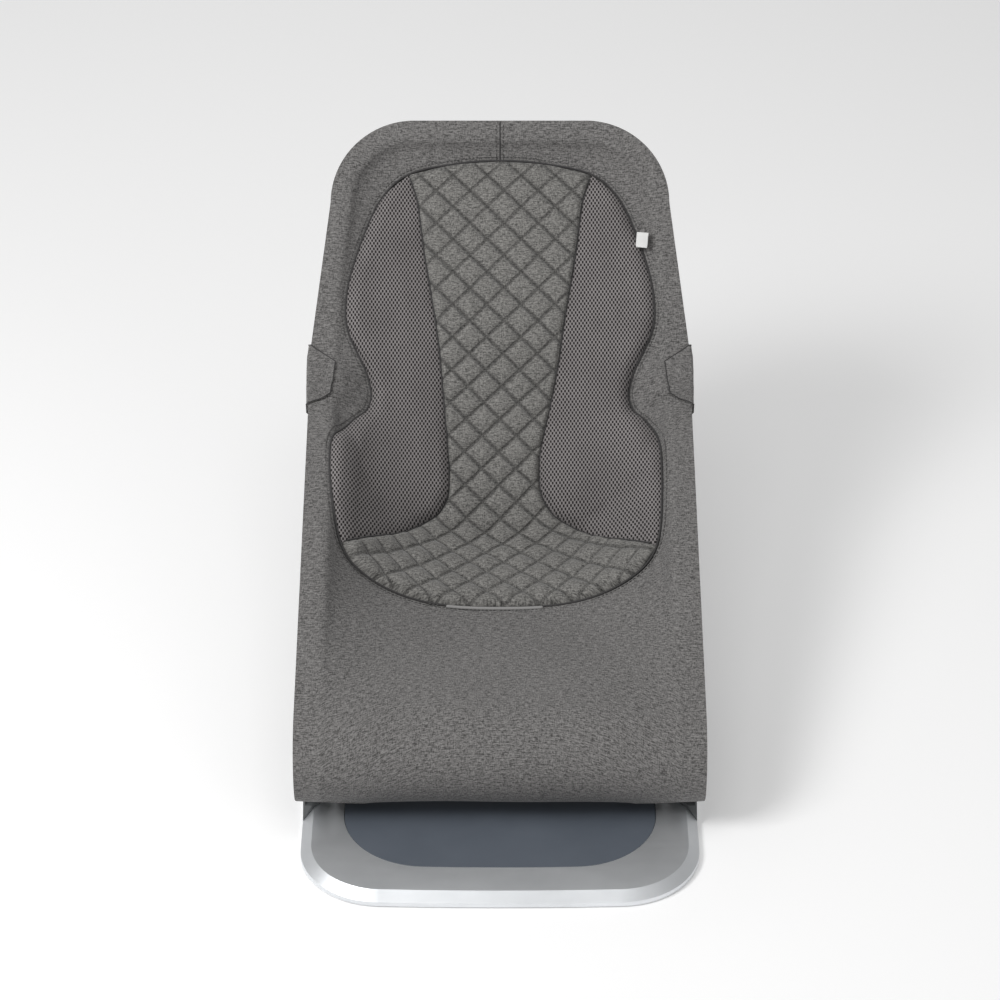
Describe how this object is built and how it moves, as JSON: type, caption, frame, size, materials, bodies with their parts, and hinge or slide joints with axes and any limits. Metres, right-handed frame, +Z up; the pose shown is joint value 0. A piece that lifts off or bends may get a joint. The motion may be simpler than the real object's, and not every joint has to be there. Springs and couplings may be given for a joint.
{
  "type": "baby bouncer seat",
  "caption": "Reclining baby bouncer seat: flat metal floor base, sprung tube frame curled round the front, padded fabric cover and quilted newborn insert.",
  "frame": {"origin": "bottom centre of the whole seat's bounding box, on the floor", "axes": "+X to the sitter's left, +Y from the feet towards the head, +Z up"},
  "size_m": [0.4018, 0.745, 0.4625],
  "materials": {
    "base_metal": "brushed, clear anodised",
    "slate_panel": "fine matte moulded",
    "tray_plastic": "matte moulded",
    "foot_rubber": "soft matte",
    "boot_plastic": "satin moulded",
    "pin_steel": "turned",
    "tube_steel": "grey powder coat",
    "socket_nylon": "glass-filled nylon",
    "hub_plastic": "matte moulded",
    "button_plastic": "matte moulded",
    "spring_steel": "bright wire",
    "cover_fabric": "grey heather plain weave",
    "quilt_fabric": "grey heather, diamond quilted",
    "mesh_fabric": "dark spacer mesh",
    "tag_fabric": "white satin ribbon"
  },
  "bodies": {
    "base": {"base_ring": "base_metal", "base_inlay": "slate_panel", "base_tray": "tray_plastic", "front_foot_pads": "foot_rubber", "rear_foot_pads": "foot_rubber", "boot_screws": "pin_steel", "left_boot": "boot_plastic", "right_boot": "boot_plastic", "left_ankle_pin": "pin_steel", "right_ankle_pin": "pin_steel"},
    "legs": {"hem_rod": "tube_steel", "left_leg_socket": "socket_nylon", "right_leg_socket": "socket_nylon", "left_leg_tube": "tube_steel", "right_leg_tube": "tube_steel", "left_leg_sleeve": "cover_fabric", "right_leg_sleeve": "cover_fabric"},
    "seat": {"nose_cover": "cover_fabric", "seat_cover": "cover_fabric", "seat_pad": "quilt_fabric", "front_cross_rod": "tube_steel", "left_seat_tube": "tube_steel", "right_seat_tube": "tube_steel", "left_seat_sleeve": "cover_fabric", "right_seat_sleeve": "cover_fabric", "left_hub_outer": "hub_plastic", "right_hub_outer": "hub_plastic", "left_hub_pin": "pin_steel", "right_hub_pin": "pin_steel", "left_seat_bolster": "mesh_fabric", "right_seat_bolster": "mesh_fabric", "left_hub_flap": "cover_fabric", "right_hub_flap": "cover_fabric"},
    "backrest": {"back_loop": "tube_steel", "back_sleeve": "cover_fabric", "back_cover": "cover_fabric", "back_pad": "quilt_fabric", "side_tag": "tag_fabric", "left_hub_inner": "hub_plastic", "right_hub_inner": "hub_plastic", "left_lock_spring": "spring_steel", "right_lock_spring": "spring_steel", "left_back_bolster": "mesh_fabric", "right_back_bolster": "mesh_fabric"},
    "left_button": {"left_release_button": "button_plastic"},
    "right_button": {"right_release_button": "button_plastic"},
    "left_lock": {"left_lock_gear": "socket_nylon"},
    "right_lock": {"right_lock_gear": "socket_nylon"}
  },
  "joints": [
    {"name": "frame_fold", "type": "hinge", "parent": "base", "child": "legs", "pos_m": [0, -0.17, 0.028], "axis": [1, 0, 0], "range_deg": [-15, 0]},
    {"name": "seat_bounce", "type": "hinge", "parent": "legs", "child": "seat", "pos_m": [0, -0.251, 0.07], "axis": [1, 0, 0], "range_deg": [-3, 1.5], "stiffness_Nm_per_rad": 450},
    {"name": "backrest_recline", "type": "hinge", "parent": "seat", "child": "backrest", "pos_m": [0, 0.185, 0.23827], "axis": [1, 0, 0], "range_deg": [-34, 0]},
    {"name": "left_button_press", "type": "slide", "parent": "seat", "child": "left_button", "axis": [1, 0, 0], "range_m": [0, 0.0036], "stiffness_N_per_m": 1200},
    {"name": "right_button_press", "type": "slide", "parent": "seat", "child": "right_button", "axis": [-1, 0, 0], "range_m": [0, 0.0036], "stiffness_N_per_m": 1200},
    {"name": "left_lock_slide", "type": "slide", "parent": "backrest", "child": "left_lock", "axis": [1, 0, 0], "range_m": [0, 0.0036], "deforming": ["left_lock_spring"]},
    {"name": "right_lock_slide", "type": "slide", "parent": "backrest", "child": "right_lock", "axis": [-1, 0, 0], "range_m": [0, 0.0036], "deforming": ["right_lock_spring"]}
  ],
  "couplings": [
    {"joint": "left_lock_slide", "follows": "left_button_press", "ratio": 1},
    {"joint": "right_lock_slide", "follows": "right_button_press", "ratio": 1}
  ]
}
